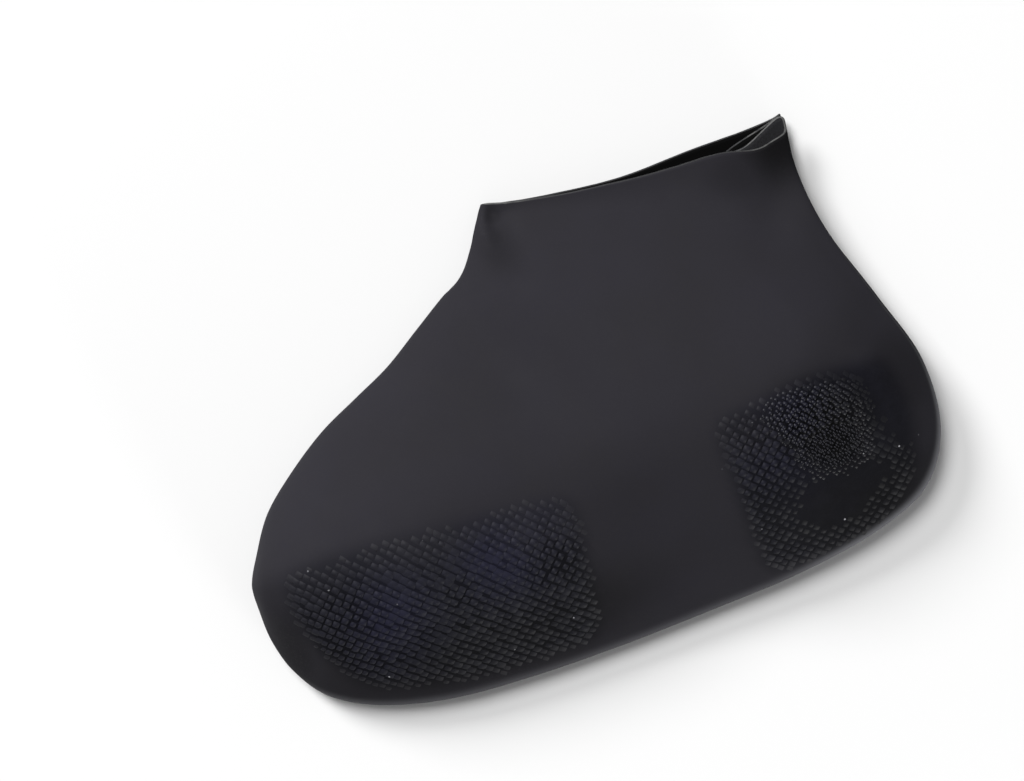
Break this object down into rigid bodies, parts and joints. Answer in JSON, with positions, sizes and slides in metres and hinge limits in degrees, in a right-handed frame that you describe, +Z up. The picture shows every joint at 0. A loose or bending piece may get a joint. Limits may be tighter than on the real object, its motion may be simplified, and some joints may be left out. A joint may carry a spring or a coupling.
{
  "type": "latex overshoe",
  "caption": "Ankle-high moulded latex overshoe lying on its side, hollow and open at its beaded mouth, with raised anti-slip treads under the ball of the foot and the heel.",
  "frame": {"origin": "on the surface that the overshoe lies on, under the middle of its box", "axes": "+X along the sole from the toe to the heel, +Y from the sole towards the mouth, +Z up from the surface"},
  "size_m": [0.2598, 0.172, 0.0473],
  "materials": {
    "latex": "matt black dipped latex with a faint bloom"
  },
  "bodies": {
    "root": {"latex_shell": "latex"}
  },
  "joints": []
}
